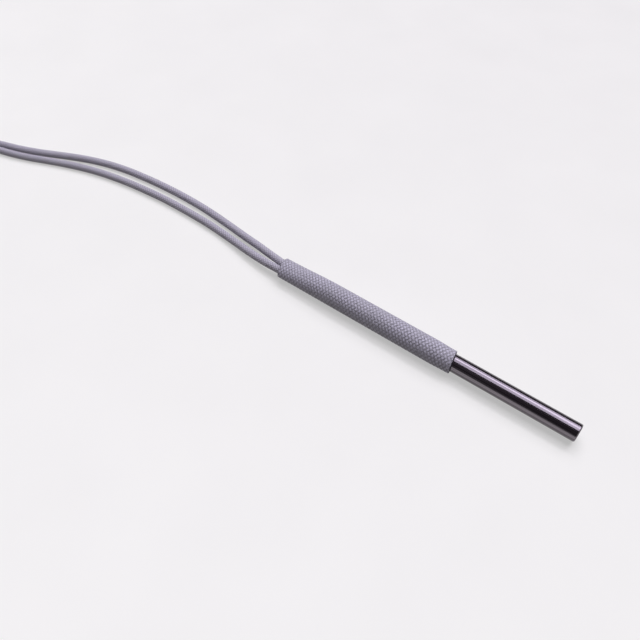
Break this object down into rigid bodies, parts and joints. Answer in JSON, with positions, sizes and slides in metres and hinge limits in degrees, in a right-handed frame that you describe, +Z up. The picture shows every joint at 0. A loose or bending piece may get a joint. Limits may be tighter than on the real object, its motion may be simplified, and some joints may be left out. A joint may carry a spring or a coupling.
{
  "type": "cartridge heater",
  "caption": "Small round cartridge heater: a polished steel sheath with a wound core inside, a braided glass sleeve over its rear end and a pair of braided leads.",
  "frame": {"origin": "centre of the flat tip face of the sheath, on the heater's axis", "axes": "+X out of the tip along the heater's axis, leads towards -X; +Z up, with the heater lying on its braided sleeve"},
  "size_m": [0.1588, 0.0236, 0.0074],
  "materials": {
    "sheath_steel": "centreless-ground stainless steel with fine lengthwise lines",
    "magnesia": "matt off-white magnesia",
    "resistance_wire": "bright nickel-chromium wire",
    "nickel": "satin nickel",
    "mica": "pearly mica",
    "glass_braid": "off-white braided glass yarn",
    "lead_braid": "off-white finely braided glass yarn",
    "tie_plastic": "natural nylon"
  },
  "bodies": {
    "root": {"sheath": "sheath_steel", "end_disc": "sheath_steel", "tip_pad": "magnesia", "winding_core": "magnesia", "heating_coil": "resistance_wire", "magnesia_fill": "magnesia", "long_pin": "nickel", "short_pin": "nickel", "mica_washer": "mica", "end_bead": "magnesia", "crimp_a": "nickel", "crimp_b": "nickel", "splice_sleeve_a": "glass_braid", "splice_sleeve_b": "glass_braid", "conductor_a": "nickel", "conductor_b": "nickel", "braided_sleeve": "glass_braid", "lead_a": "lead_braid", "lead_b": "lead_braid", "lead_coil": "lead_braid", "coil_tie": "tie_plastic", "bare_end_a": "nickel", "bare_end_b": "nickel"}
  },
  "joints": []
}
